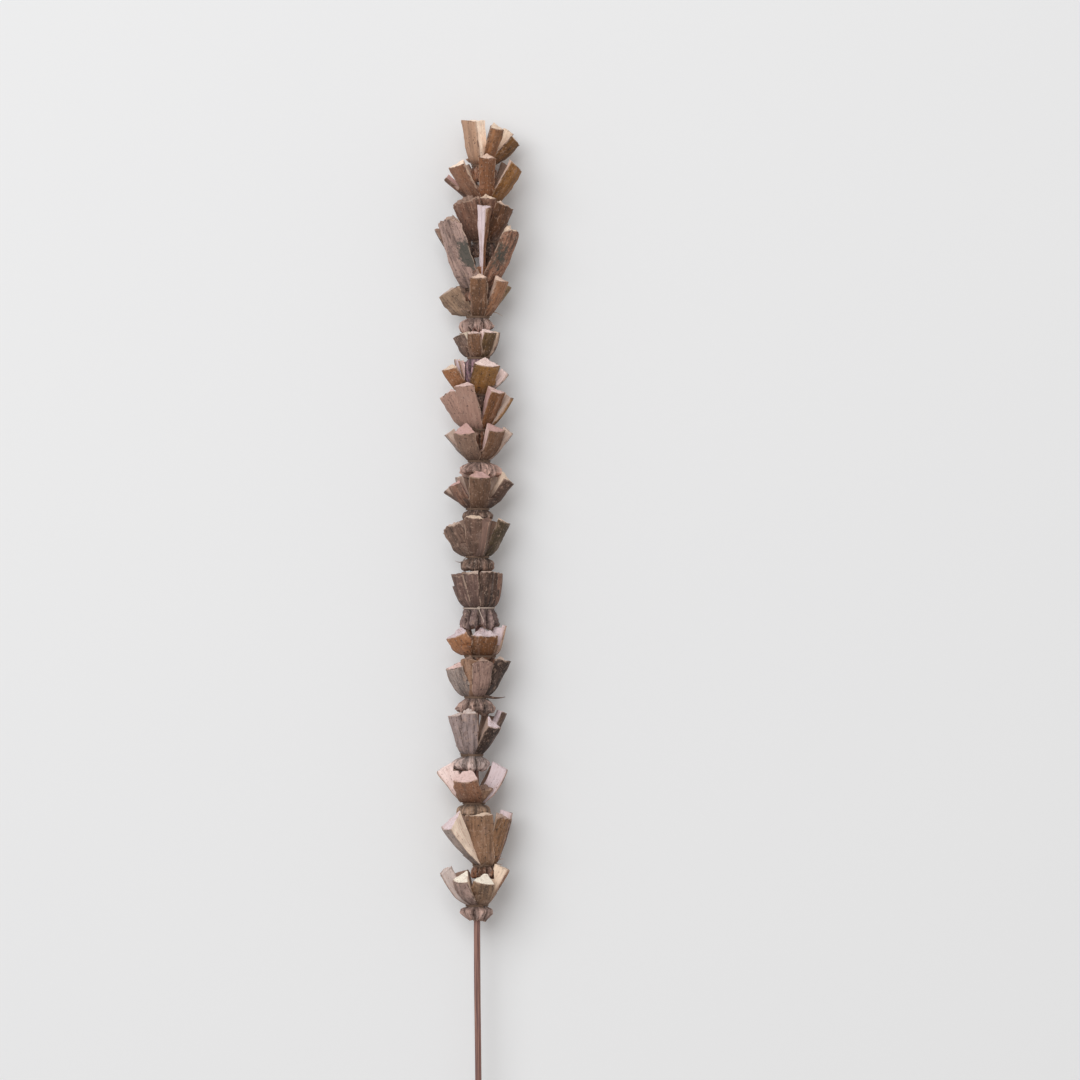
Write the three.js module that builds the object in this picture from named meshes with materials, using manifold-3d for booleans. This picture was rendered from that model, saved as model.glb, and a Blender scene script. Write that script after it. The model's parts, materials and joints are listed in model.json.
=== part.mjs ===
// A dried sola bakuli stem, lying on its side. Eighteen cups, each a short length of sola stalk split
// from its upper end into petals and tied at its waist with thread, are threaded on one slim stick.
// Millimetres, +Z up. The stem lies along Y with its tip towards +Y, and its underside petals carry it.
import * as THREE from "three";
import { mergeVertices } from "three/addons/utils/BufferGeometryUtils.js";
import Module from "manifold-3d";

const wasm = await Module();
wasm.setup();

// The stem as a whole
const STEM_LENGTH = 600;
const REST_DEPTH = 17.5; // from the stem's line down to the surface it lies on
const GAP = 0.3; // between pieces that touch
const MERGE_WITHIN = 0.001;

// The stick, as [sideways, distance below the stem's tip]
const STICK_RADIUS = 1.6;
const STICK_SIDES = 8;
const STICK_STEPS = 26;
const STICK_ROUTE = [
  [2.2, 17],
  [2.5, 62],
  [0.3, 120],
  [0.2, 171],
  [0.2, 220],
  [0, 269],
  [-1.4, 318],
  [-0.6, 345],
  [1, 373],
  [-0.3, 394],
  [-0.4, 420],
  [0.2, 482],
  [0.4, STEM_LENGTH],
];

// A petal is a wedge of the split stalk. Its section shrinks towards the waist, where thread holds it.
const PETAL_START = 1.1; // above the tie
const PETAL_STEPS = 3;
const BARK_SEGMENTS = 2;
const BARK_BULGE = 0.16; // of the petal's width
const RIDGE_WIDTH = 0.12; // of the petal's width
const BASE_WIDTH = 0.9; // of the width at the top
const BASE_DEPTH = 0.6; // of the depth at the top
const BOWL = 1.1; // over 1, a petal spreads most just above its waist
const LEAN_LENGTH = 0.3; // of the petal, over which its section takes the petal's lean

// The knob below each tie, and the neck that the petals grow from
const KNOB_SEGMENTS = 12;
const KNOB_LOBES = 7;
const LOBE_DEPTH = 0.06; // of the knob's radius
const KNOB_PROFILE = [
  [0.8, 1],
  [1, 0.75],
  [0.96, 0.35],
]; // shares of its radius and height, from the bottom up
const NECK = 0.9; // half the height of the waist
const NECK_FLARE = 0.5;
const CORE_TOP = 3;

const PRINT_SHOULDER = 0.3; // of the knob's height, where its print in the next cup starts to narrow

// The thread wound round each waist
const TIE_THICKNESS = 0.6;
const TIE_HEIGHT = 1.4;
const TIE_SEGMENTS = 12;

// Two petals under each cup, as azimuths round the stem: 0 is +X, 90 is up, -90 is down
const UNDER_LEFT = -125;
const UNDER_RIGHT = -55;
const HALVINGS = 30; // in the search for the reach of a petal that carries the stem

const WAIST = 5.5;
const THICK_WAIST = 7.8;

const BARK_TAN = 0x8a6a4e;
const BARK_BROWN = 0x7b5f50;
const BARK_GREY = 0x84716b;
const BARK_DARK = 0x4d3b31;
const THREAD_COLOUR = 0xcabfa6;
const STICK_COLOUR = 0x7a5f50;

// Each cup from the tip down: sideways place and tie's distance below the tip, the knob's radius and
// height, and its petals as [azimuth, reach, rise, width, depth, turn, skew]. reach is from the axis
// to the bark at the petal's top and rise is from the tie to there. turn is the angle from the
// azimuth to the way the bark faces, and skew moves the ridge to one side, in widths.
// under is the reach, rise, width and depth of the two petals below, and rests sets their reach by
// the surface that the stem lies on.
const CUPS = [
  {
    side: 2.5,
    along: 24,
    knob: [6, 7],
    bark: BARK_TAN,
    petals: [
      [125, 14, 22, 9, 7, 5, 0.6],
      [67, 18, 17, 7.5, 6],
      [20, 18, 11.5, 8.5, 6, 20],
      [-25, 16, 16, 8, 6, -5],
    ],
    under: [13, 19, 9, 6],
  },
  {
    side: 3.5,
    along: 43.5,
    knob: [6, 5],
    bark: BARK_TAN,
    petals: [
      [85, 16, 22.2, 8.4, 7],
      [145, 20, 17.8, 14, 7, -4],
      [186, 20.5, 12.5, 6, 3.5, -10],
      [35, 20.5, 17.5, 10.5, 8, 8],
    ],
    under: [0, 18, 9, 6],
    rests: true,
  },
  {
    side: 3,
    along: 62,
    knob: [6.4, 6.5],
    bark: BARK_BROWN,
    petals: [
      [122, 18, 19, 15.5, 7, -7],
      [82, 15, 20.3, 9, 7],
      [46, 16.5, 17, 12, 6, 6],
    ],
    under: [13, 17, 10, 5],
  },
  {
    side: 0.5,
    along: 85.5,
    knob: [6, 5],
    bark: BARK_GREY,
    petals: [
      [184, 22, 29.5, 4, 4, 5],
      [143, 21.5, 33.5, 13, 7, -18],
      [72, 19.5, 39.5, 7, 7, -54],
      [30, 22, 28.5, 10, 7, 24],
    ],
    under: [0, 32, 10, 6],
    rests: true,
  },
  {
    side: -0.25,
    along: 99.5,
    knob: [7.7, 6],
    bark: BARK_BROWN,
    petals: [
      [86, 16, 18.5, 9, 5.3],
      [170, 15.5, 12, 12.5, 7, -55],
      [35, 16.5, 17, 8, 7, 12],
      [-8, 16.5, 15, 6, 5, 30],
    ],
    under: [14, 15, 9, 5],
  },
  {
    side: 0.25,
    along: 120,
    knob: [7, 11.5],
    bark: BARK_DARK,
    petals: [
      [160, 12, 10.5, 9, 6, -18, 0.5],
      [102, 11, 11.5, 7.5, 6],
      [58, 12.5, 12, 7.5, 7, 0, -0.3],
      [5, 11, 12.5, 6, 5, -15],
    ],
    under: [12, 12, 8, 5],
  },
  {
    side: -1,
    along: 138.5,
    knob: [6, 9],
    bark: BARK_TAN,
    petals: [
      [157, 15, 12.3, 9, 6, -34],
      [150, 10.5, 17, 3, 3, 20],
      [178, 10.5, 17.5, 3, 3, 30],
      [67, 15.5, 13.5, 14, 8, 6],
      [8, 16.5, 10, 5, 5, -15],
    ],
    under: [13, 15, 9, 5],
  },
  {
    side: 0.5,
    along: 156,
    knob: [6.3, 8.5],
    bark: BARK_TAN,
    petals: [
      [120, 16.4, 21.3, 11.5, 6, -3],
      [160, 17.5, 17, 11, 6, -28],
      [50, 16.5, 18, 8, 8, 2, -0.3],
      [12, 17.5, 15.5, 6, 5, -10],
    ],
    under: [14, 18, 9, 6],
  },
  {
    side: 0.5,
    along: 171.5,
    knob: [10, 6],
    bark: BARK_BROWN,
    petals: [
      [118, 17, 12.7, 12, 9, -3, -0.1],
      [172, 17.5, 12.5, 8, 6, 8],
      [50, 16, 14.2, 11, 8, -2, -0.15],
      [5, 17, 13.5, 8, 6, -18],
    ],
    under: [14, 14, 9, 6],
  },
  {
    side: 0,
    along: 195.5,
    knob: [8, 5],
    bark: BARK_TAN,
    petals: [
      [86, 17, 15, 11, 8],
      [150, 14.2, 11.7, 8.5, 6, -20],
      [186, 17, 8, 7, 5, -4],
      [168, 11.5, 15.5, 5, 4, 10],
      [24, 17.5, 13.5, 6.5, 8, 30, -0.25],
      [-12, 13, 15, 8, 6, -10],
    ],
    under: [14, 15, 9, 5],
  },
  {
    side: 0,
    along: 219.5,
    knob: [8.5, 6],
    bark: BARK_BROWN,
    petals: [
      [98, 14, 19, 9.5, 8],
      [152, 15.2, 15, 8.5, 6, -40],
      [190, 17, 12, 6, 5, 15],
      [58, 13, 18.5, 8, 7, -62],
      [26, 15.5, 17, 8.5, 6, 20],
    ],
    under: [14, 17, 8, 5],
  },
  {
    side: 0.5,
    along: 245,
    waist: THICK_WAIST,
    knob: [10.7, 8.5],
    bark: BARK_DARK,
    petals: [
      [143, 15, 16, 10, 7],
      [108, 15, 17, 8, 7, 6, 0.2],
      [72, 14.5, 17.7, 7.5, 7],
      [40, 11.5, 17.5, 7.5, 7],
      [10, 12, 17, 9, 6],
    ],
    under: [14, 16, 9, 6],
  },
  {
    side: 1,
    along: 269,
    waist: THICK_WAIST,
    knob: [6.3, 5],
    bark: BARK_TAN,
    petals: [
      [140, 16.5, 9.5, 12.5, 10, -18],
      [79, 14.5, 9.5, 13.5, 10],
      [2, 13, 15, 8, 6, -20],
    ],
    under: [15, 12, 9, 6],
  },
  {
    side: -1.25,
    along: 289.5,
    knob: [8, 6.5],
    bark: BARK_GREY,
    petals: [
      [143, 14.5, 14, 11.5, 7, -14],
      [108, 13.5, 19.3, 9, 5],
      [70, 14.3, 18, 11.5, 5],
      [24, 16.3, 18, 9.5, 5, 26],
    ],
    under: [14, 16, 9, 5],
  },
  {
    side: -3,
    along: 318.5,
    knob: [9.7, 6.5],
    bark: BARK_GREY,
    petals: [
      [132, 14.5, 19.5, 8, 7],
      [95, 14.5, 21, 8, 7],
      [50, 18.5, 13.5, 8, 8, 4],
      [-12, 17.5, 20.5, 9, 5, 20],
    ],
    under: [15, 18, 9, 6],
  },
  {
    side: -2,
    along: 342.5,
    knob: [8.7, 5.7],
    bark: BARK_BROWN,
    petals: [
      [105, 17, 10.5, 13, 10],
      [176, 18, 16, 10, 11, 25],
      [12, 16.5, 17, 9, 9, -35],
      [58, 12, 6.5, 9, 5],
    ],
    under: [0, 14, 10, 6],
    rests: true,
  },
  {
    side: 3,
    along: 373.5,
    knob: [7, 5.5],
    bark: BARK_TAN,
    petals: [
      [101, 14, 25, 14.5, 8, 0, 0.1],
      [142, 25, 18, 10, 11, 8],
      [45, 15.5, 23.5, 10, 7, 5],
      [-10, 14, 26, 8, 6, -15],
    ],
    under: [0, 22, 9, 6],
    rests: true,
  },
  {
    side: -0.5,
    along: 393.5,
    knob: [8.7, 6],
    bark: BARK_BROWN,
    petals: [
      [123, 16.5, 11.5, 9.5, 9, -15, 0.1],
      [78, 15.7, 11, 11, 9.5, 14],
      [165, 18.5, 16.5, 9, 7, 35],
      [15, 16.5, 17.5, 9, 8, -22],
    ],
    under: [14, 15, 9, 6],
  },
];

const radians = THREE.MathUtils.degToRad;

// A closed geometry as a solid that can be joined and cut
function toSolid(geometry) {
  const bare = geometry.clone();
  bare.deleteAttribute("normal");
  bare.deleteAttribute("uv");
  const merged = mergeVertices(bare, MERGE_WITHIN);
  return new wasm.Manifold(
    new wasm.Mesh({
      numProp: 3,
      vertProperties: merged.attributes.position.array,
      triVerts: new Uint32Array(merged.index.array),
    }),
  );
}

// A solid as a geometry with flat faces
function toGeometry(solid) {
  const { vertProperties, triVerts } = solid.getMesh();
  const shared = new THREE.BufferGeometry();
  shared.setAttribute("position", new THREE.BufferAttribute(vertProperties, 3));
  shared.setIndex(new THREE.BufferAttribute(triVerts, 1));
  const flat = shared.toNonIndexed();
  flat.computeVertexNormals();
  return flat;
}

// The outward direction at an azimuth round the stem's line
function outward(azimuth) {
  return new THREE.Vector3(Math.cos(azimuth), 0, Math.sin(azimuth));
}

// A wedge-shaped section, bark outwards and the ridge of the two split faces inwards
function wedgeSection(width, depth, skew) {
  const bulge = BARK_BULGE * width;
  const ridge = (RIDGE_WIDTH * width) / 2;
  const middle = -skew * width;
  const section = new THREE.Shape();
  section.moveTo(-width / 2, -bulge);
  section.quadraticCurveTo(0, bulge, width / 2, -bulge);
  section.lineTo(middle + ridge, -depth);
  section.lineTo(middle - ridge, -depth);
  section.closePath();
  return section;
}

// One petal, from just above the tie at the origin to its cut top
function petalGeometry([azimuth, reach, rise, width, depth, turn = 0, skew = 0], waist) {
  const geometry = new THREE.ExtrudeGeometry(wedgeSection(width, depth, skew), {
    depth: 1,
    steps: PETAL_STEPS,
    curveSegments: BARK_SEGMENTS,
    bevelEnabled: false,
  });
  const lean = Math.atan2(reach - waist, rise - PETAL_START);
  const away = outward(radians(azimuth));
  const facing = outward(radians(azimuth + turn));
  const place = geometry.attributes.position;
  for (let i = 0; i < place.count; i++) {
    const up = place.getZ(i);
    const tipped = lean * Math.min(1, up / LEAN_LENGTH);
    const axis = away.clone().multiplyScalar(Math.sin(tipped));
    axis.y = Math.cos(tipped);
    const out = facing.clone().projectOnPlane(axis).normalize();
    const across = out.clone().cross(axis);
    const spread = 1 - (1 - up) ** BOWL;
    const point = away.clone().multiplyScalar(THREE.MathUtils.lerp(waist, reach, spread));
    point.y = THREE.MathUtils.lerp(PETAL_START, rise, up);
    point.addScaledVector(across, place.getX(i) * THREE.MathUtils.lerp(BASE_WIDTH, 1, up));
    point.addScaledVector(out, place.getY(i) * THREE.MathUtils.lerp(BASE_DEPTH, 1, up));
    place.setXYZ(i, point.x, point.y, point.z);
  }
  return geometry;
}

// The knob, the waist and the neck, turned on the cup's axis, with shallow lobes round the knob
function coreGeometry([radius, height], waist) {
  const profile = [
    [0, -NECK - height],
    ...KNOB_PROFILE.map(([r, y]) => [r * radius, -NECK - y * height]),
    [waist, -NECK],
    [waist, NECK],
    [waist + NECK_FLARE, CORE_TOP],
    [0, CORE_TOP],
  ];
  const points = profile.map(([r, y]) => new THREE.Vector2(r, y));
  const geometry = new THREE.LatheGeometry(points, KNOB_SEGMENTS);
  const place = geometry.attributes.position;
  for (let i = 0; i < place.count; i++) {
    const share = THREE.MathUtils.clamp(-(place.getY(i) + NECK) / height, 0, 1);
    const round = Math.atan2(place.getZ(i), place.getX(i));
    const lobe = 1 + LOBE_DEPTH * share * Math.cos(KNOB_LOBES * round);
    place.setX(i, place.getX(i) * lobe);
    place.setZ(i, place.getZ(i) * lobe);
  }
  return geometry;
}

// The room that a cup's knob, waist and tie take in the soft pith of the next cup
function knobPrint({ knob: [radius, height], waist = WAIST }) {
  const wide = radius * (1 + LOBE_DEPTH) + GAP;
  const tied = waist + GAP + TIE_THICKNESS + GAP;
  const profile = [
    [0, -NECK - height - GAP],
    [wide, -NECK - height - GAP],
    [wide, -NECK - PRINT_SHOULDER * height],
    [tied, -TIE_HEIGHT / 2],
    [tied, CORE_TOP],
    [0, CORE_TOP],
  ];
  const points = profile.map(([r, y]) => new THREE.Vector2(r, y));
  return new THREE.LatheGeometry(points, KNOB_SEGMENTS);
}

// How far below the cup's axis a petal reaches
function depthBelow(petal, waist) {
  const geometry = petalGeometry(petal, waist);
  geometry.computeBoundingBox();
  return -geometry.boundingBox.min.z;
}

// The two petals under a cup. Where they carry the stem, their reach is found by halving.
function underPetals({ under, rests, waist = WAIST }) {
  const [given, rise, width, depth] = under;
  let reach = given;
  if (rests) {
    let low = waist;
    let high = 2 * REST_DEPTH;
    for (let halving = 0; halving < HALVINGS; halving++) {
      reach = (low + high) / 2;
      if (depthBelow([UNDER_LEFT, reach, rise, width, depth], waist) > REST_DEPTH) high = reach;
      else low = reach;
    }
  }
  return [UNDER_LEFT, UNDER_RIGHT].map((azimuth) => [azimuth, reach, rise, width, depth]);
}

function stickGeometry(radius) {
  const route = STICK_ROUTE.map(([side, along]) => new THREE.Vector3(side, -along, 0));
  const section = new THREE.Shape();
  for (let i = 0; i < STICK_SIDES; i++) {
    const turn = (2 * Math.PI * i) / STICK_SIDES;
    const corner = [radius * Math.cos(turn), radius * Math.sin(turn)];
    if (i) section.lineTo(...corner);
    else section.moveTo(...corner);
  }
  section.closePath();
  return new THREE.ExtrudeGeometry(section, {
    steps: STICK_STEPS,
    extrudePath: new THREE.CatmullRomCurve3(route),
  });
}

function cupGeometry(cup, above, bore) {
  const waist = cup.waist ?? WAIST;
  let solid = toSolid(coreGeometry(cup.knob, waist));
  for (const petal of [...cup.petals, ...underPetals(cup)])
    solid = solid.add(toSolid(petalGeometry(petal, waist)));
  const hole = bore.clone().translate(-cup.side, cup.along, 0);
  solid = solid.subtract(toSolid(hole));
  if (above) {
    const print = knobPrint(above).translate(above.side - cup.side, cup.along - above.along, 0);
    solid = solid.subtract(toSolid(print));
  }
  return toGeometry(solid);
}

function tieGeometry(waist) {
  const inside = waist + GAP;
  const outside = inside + TIE_THICKNESS;
  const half = TIE_HEIGHT / 2;
  const ring = [
    [inside, -half],
    [outside, -half / 2],
    [outside, half / 2],
    [inside, half],
    [inside, -half],
  ];
  const points = ring.map(([r, y]) => new THREE.Vector2(r, y));
  return new THREE.LatheGeometry(points, TIE_SEGMENTS);
}

function addMesh(group, name, geometry, colour, roughness) {
  const material = new THREE.MeshStandardMaterial({ color: colour, roughness, metalness: 0 });
  const mesh = new THREE.Mesh(geometry, material);
  mesh.name = name;
  group.add(mesh);
  return mesh;
}

const stem = new THREE.Group();
addMesh(stem, "stick", stickGeometry(STICK_RADIUS), STICK_COLOUR, 0.75);
const bore = stickGeometry(STICK_RADIUS + GAP);
CUPS.forEach((cup, i) => {
  const number = String(i + 1).padStart(2, "0");
  const made = addMesh(stem, "cup_" + number, cupGeometry(cup, CUPS[i - 1], bore), cup.bark, 0.85);
  const tie = addMesh(stem, "tie_" + number, tieGeometry(cup.waist ?? WAIST), THREAD_COLOUR, 0.8);
  made.position.set(cup.side, -cup.along, 0);
  tie.position.copy(made.position);
});

// The part's origin is under the middle of its box, on the surface it lies on.
stem.updateMatrixWorld(true);
const box = new THREE.Box3().setFromObject(stem);
const middle = box.getCenter(new THREE.Vector3());
stem.position.set(-middle.x, -middle.y, -box.min.z);

export default stem;
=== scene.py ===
# The looks of a dried sola bakuli stem that lies on its side: split cups of sola stalk, tied with
# thread and threaded on a slim stick. Shapes are worked in millimetres round each cup's own tie, with
# X to the right, Y along the stem towards its tip and Z up, and then put in place in metres.
import json
import math
from contextlib import contextmanager

import bmesh
import bpy
import numpy as np
from mathutils import Matrix, Vector, noise

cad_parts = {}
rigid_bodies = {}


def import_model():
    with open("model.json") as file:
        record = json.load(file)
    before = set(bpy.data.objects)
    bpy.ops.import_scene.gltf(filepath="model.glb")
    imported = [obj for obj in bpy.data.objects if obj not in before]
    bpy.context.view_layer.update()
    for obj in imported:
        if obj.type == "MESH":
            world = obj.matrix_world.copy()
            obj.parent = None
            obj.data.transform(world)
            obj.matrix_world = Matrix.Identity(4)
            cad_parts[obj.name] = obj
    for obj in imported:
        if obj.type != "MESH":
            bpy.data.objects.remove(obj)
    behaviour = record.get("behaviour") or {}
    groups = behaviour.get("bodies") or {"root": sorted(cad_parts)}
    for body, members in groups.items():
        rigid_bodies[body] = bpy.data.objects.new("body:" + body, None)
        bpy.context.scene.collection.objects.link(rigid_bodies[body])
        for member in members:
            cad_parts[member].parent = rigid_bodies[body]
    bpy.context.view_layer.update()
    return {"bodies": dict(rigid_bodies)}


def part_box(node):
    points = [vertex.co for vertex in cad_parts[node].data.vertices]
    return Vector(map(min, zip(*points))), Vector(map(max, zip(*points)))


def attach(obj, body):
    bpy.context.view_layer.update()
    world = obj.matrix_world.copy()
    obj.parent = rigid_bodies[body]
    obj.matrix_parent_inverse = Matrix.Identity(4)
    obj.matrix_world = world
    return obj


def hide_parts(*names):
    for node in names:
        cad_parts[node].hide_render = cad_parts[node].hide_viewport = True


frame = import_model()

MM = 0.001
STEM_LENGTH = 600
FIRST_TIE = (2.5, 24)  # the top tie, sideways and below the tip, in the millimetres of the tables
REST_DEPTH = 17.5  # from the stem's line down to the floor
GAP = 0.3
ROOM_TOP = 3
KNOB_ROOM = 1.12
TIE_ROOM = 1.2

# The stick, as [sideways, distance below the tip]
STICK_RADIUS = 1.6
STICK_ROUTE = [
    *((2.2, 17), (2.5, 62), (0.3, 120), (0.2, 171), (0.2, 220), (0, 269), (-1.4, 318)),
    *((-0.6, 345), (1, 373), (-0.3, 394), (-0.4, 420), (0.2, 482), (0.4, STEM_LENGTH)),
]

WAIST = 5.5
THICK_WAIST = 7.8
NECK = 0.9  # half the height of the waist
BOWL_TOP = 3.5  # how far above the tie a cup's petals are still one bowl
BOWL_INSET = 0.35
PETAL_START = 0.4  # above the tie's middle
BARK_BULGE = 0.16
RIDGE_WIDTH = 0.12
BASE_WIDTH = 0.92
BOWL = 1.08
SHOULDER = 0.9  # how far a petal swells out again above the thread that presses it in
SQUEEZE = 1.7  # over this height
SQUEEZED_WIDTH = 0.24  # of its width, lost at the tie
LEAN_LENGTH = 0.3
UNDER_AZIMUTHS = (-125, -55)
CHIPS = 0.11  # how much a petal's edges wander, as a share of its width
SHADOW = 0.6  # how much darker the pith is at the tie
SHADOW_HEIGHT = 5.5
HALVINGS = 30

# Faces along each side of the block that a petal is shaped from
PETAL_ACROSS = 14
PETAL_DEEP = 9
PETAL_LONG = 30

# How finely the round pieces and the thread are cut
CORE_ROUND = 120
CORE_RINGS = 32
CORE_INSETS = (0.2, 0.25, 0.25)
ROOM_SIDES = 48
STICK_SIDES = 24
STICK_STEPS = 240
BORE_STEPS = 60
THREAD_STEPS = 28  # in one turn
LOOP_STEPS = 18
TAIL_STEPS = 14
SMOOTH_UNDER = math.radians(40)

THREAD_THICKNESS = 0.38
KNOT_OUT = 0.35  # from the windings to the middle of a knot
WELD = 0.002  # between a thread's end caps and its turns

# What the sola material reads where there is no bark's edge near, and well under the bark
NO_EDGE = 9.0
DEEP_INSIDE = 6

# Ties whose knots show: how many turns, the knot's azimuth and its tails as (aside, along, outwards)
KNOTS = {
    9: (3, 60, ((-3.5, -1.5, 0.6), (2.5, 1.5, 0.6))),
    11: (3, 150, ((2.5, -1.2, 1.2), (4.5, 0.8, 1))),
    12: (2, 91, ((-2.8, -7.2, 3.2), (-0.4, 3.4, 0.9))),
    15: (3, 120, ((3.5, 1, 0.8), (2.6, -2.2, 1.2))),
    18: (3, 70, ((-1.8, -2.2, 0.8), (2.4, 1.2, 0.8))),
}
# The other ties' knots are underneath
HIDDEN_KNOT = 230
KNOT_STEP = 37
HIDDEN_TAILS = ((2.2, -2.6, 0.5), (-2.6, 1.4, 0.7))
PALE_TIE = 12
# The dusty thread is darker than the thread alone: partly dust, partly painted shade of the tied waist.
DUSTY_SHADED_THREAD = (132, 106, 88)
PALE_THREAD = (216, 196, 182)

# The middle of the view, as (sideways, distance below the tip), and a long lens from far above it
VIEW_MIDDLE = (31, 211)
CAMERA_HEIGHT = 3.0
LENS = 200

# Each light's place from there in metres, its size and its power
LIGHTS = {"key": ((-1.4, 1.7, 3.3), 3.4, 108), "fill": ((1.2, -0.6, 3.0), 2.4, 4)}
SKY_TONE = (1.0, 0.96, 0.92, 1)
SKY_STRENGTH = 0.46

# Bark and pith tones, as red, green and blue out of 255
BARKS = {
    "tan": (190, 150, 122),
    "warm tan": (172, 120, 86),
    "brown": (160, 112, 84),
    "umber": (136, 98, 80),
    "red umber": (130, 86, 60),
    "golden": (172, 122, 64),
    "orange": (190, 130, 88),
    "mauve": (182, 152, 142),
    "grey": (176, 158, 150),
    "olive": (160, 126, 84),
    "dark": (132, 104, 90),
    # deep is partly the bark's own dark colour, partly painted shade on petals that face away from the
    # light.
    "deep": (96, 70, 58),
    "pinkish": (188, 148, 132),
    "mossy": (152, 108, 86),
    "purple": (160, 126, 138),
    "drab": (168, 138, 114),
    "sooty": (122, 93, 84),
    "chestnut": (152, 100, 66),
    "cocoa": (128, 94, 72),
    "fawn": (154, 116, 88),
    "ash": (204, 182, 176),
    "peat": (98, 80, 56),
    "honey": (164, 118, 80),
    "taupe": (152, 120, 102),
    "plum": (138, 114, 110),
    "oat": (202, 160, 132),
    "hazel": (170, 118, 80),
    "bronze": (132, 88, 38),
    "amber": (160, 108, 52),
    "russet": (112, 71, 42),
    "hickory": (132, 92, 64),
    "bottle": (112, 82, 46),
    "copper": (168, 113, 73),
    "cognac": (141, 90, 50),
    "dusk": (196, 162, 150),
    "sable": (120, 91, 77),
    # ink is partly the bark's own dark colour, partly painted shade on petals that face away from the
    # light.
    "ink": (66, 46, 37),
    "sandy": (172, 132, 106),
    "old rose": (174, 139, 127),
    "thistle": (166, 138, 128),
    "stone": (168, 148, 145),
    "wheat": (152, 120, 95),
}
MOTTLING = {"sola_tan": 0.5, "sola_brown": 0.6, "sola_grey": 0.7, "sola_dark": 0.5}
# The four darkest piths are painted shade: pith darkened for split faces that lie in shade.
PITHS = {
    "cream": (236, 212, 190),
    "peach": (236, 208, 190),
    "pink": (230, 200, 194),
    "lilac": (222, 204, 208),
    "ivory": (248, 234, 214),
    "dusty": (206, 184, 170),
    "rose": (204, 166, 160),
    "shaded": (176, 150, 136),
    "bright": (255, 232, 212),
    "dim": (150, 124, 110),
    "inky_shade": (84, 66, 58),
    "ashy": (212, 196, 190),
    "shell": (250, 226, 220),
    "dun_shade": (120, 94, 84),
    "frost": (255, 246, 230),
}

# How a knob's outline runs from its tie down to its lower end, as [share of its height, share of the
# way from the waist to its full radius]
KNOBS = {
    "bun": [(0, 0), (0.15, 0.5), (0.4, 0.95), (0.7, 1), (0.9, 0.7), (1, 0.2)],
    "barrel": [(0, 0), (0.12, 0.6), (0.3, 0.95), (0.6, 1), (0.88, 0.95), (1, 0.6)],
    "flare": [(0, 0), (0.2, 0.3), (0.5, 0.7), (0.8, 0.95), (0.95, 1), (1, 0.85)],
    "lens": [(0, 0), (0.12, 0.6), (0.3, 0.98), (0.5, 0.95), (0.8, 0.3), (1, -0.25)],
    "frill": [(0, 0), (0.2, 0.5), (0.5, 0.9), (0.8, 1), (0.95, 0.9), (1, 0.6)],
    "long": [(0, 0), (0.1, 0.6), (0.25, 1), (0.6, 0.9), (0.9, 0.6), (1, 0.2)],
}
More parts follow.
